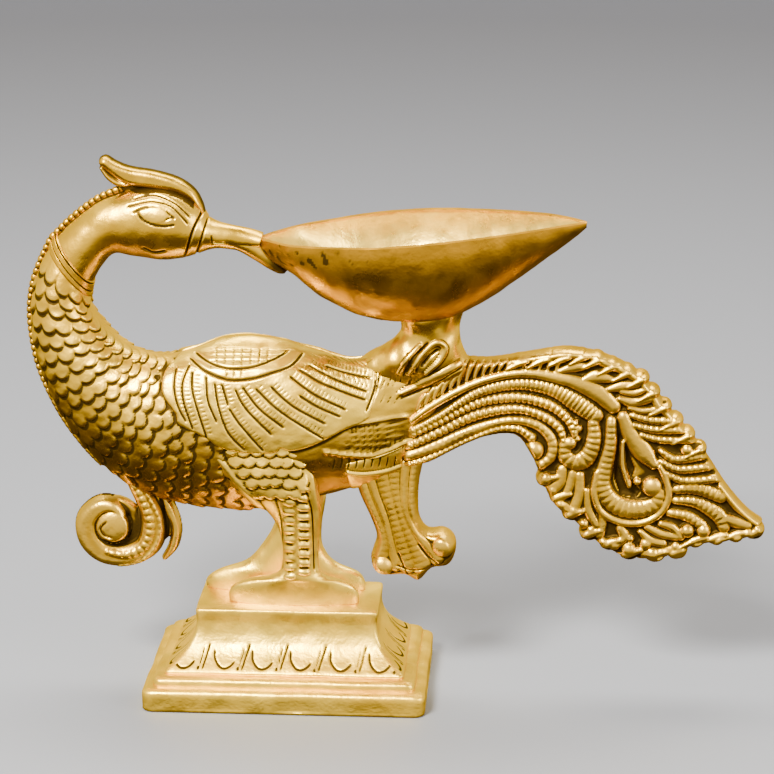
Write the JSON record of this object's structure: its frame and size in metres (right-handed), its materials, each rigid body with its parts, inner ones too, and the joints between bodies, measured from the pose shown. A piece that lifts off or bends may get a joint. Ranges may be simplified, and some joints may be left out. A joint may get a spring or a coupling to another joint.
{
  "type": "brass peacock oil lamp",
  "caption": "Cast brass peacock on a stepped plinth, looking back and holding the end of a leaf-shaped oil bowl in its beak, with a curled plume tail.",
  "frame": {"origin": "centre of the plinth's underside, on the plane that the lamp stands on", "axes": "+X from the breast towards the tail tip, +Y to the bird's right side, -Z down into the table"},
  "size_m": [0.2027, 0.053, 0.1498],
  "materials": {
    "plinth_brass": "bright polished cast brass, pale where it is flat, with dark engraved lines",
    "screw_steel": "plain steel screw",
    "leg_brass": "polished cast brass with dark grooves",
    "body_brass": "polished cast brass, dark patina between the scales",
    "head_brass": "smooth polished cast brass",
    "trim_brass": "polished beads over dark gaps",
    "wing_brass": "bright polished brass with dark engraved feather lines",
    "tail_brass": "polished ribs over dark brown patina",
    "bowl_brass": "smooth brass, with file marks and pits on the rim"
  },
  "bodies": {
    "root": {"plinth": "plinth_brass", "leg_screws": "screw_steel", "leg_washers": "screw_steel", "near_leg": "leg_brass", "far_leg": "leg_brass", "body": "body_brass", "neck_collar": "body_brass", "head": "head_brass", "crest": "head_brass", "nape_beading": "trim_brass", "breast_scroll": "trim_brass", "near_wing": "wing_brass", "far_wing": "wing_brass", "rump_band": "wing_brass", "tail": "tail_brass", "undertail_plume": "tail_brass", "bowl_stem": "bowl_brass", "oil_bowl": "bowl_brass"}
  },
  "joints": []
}
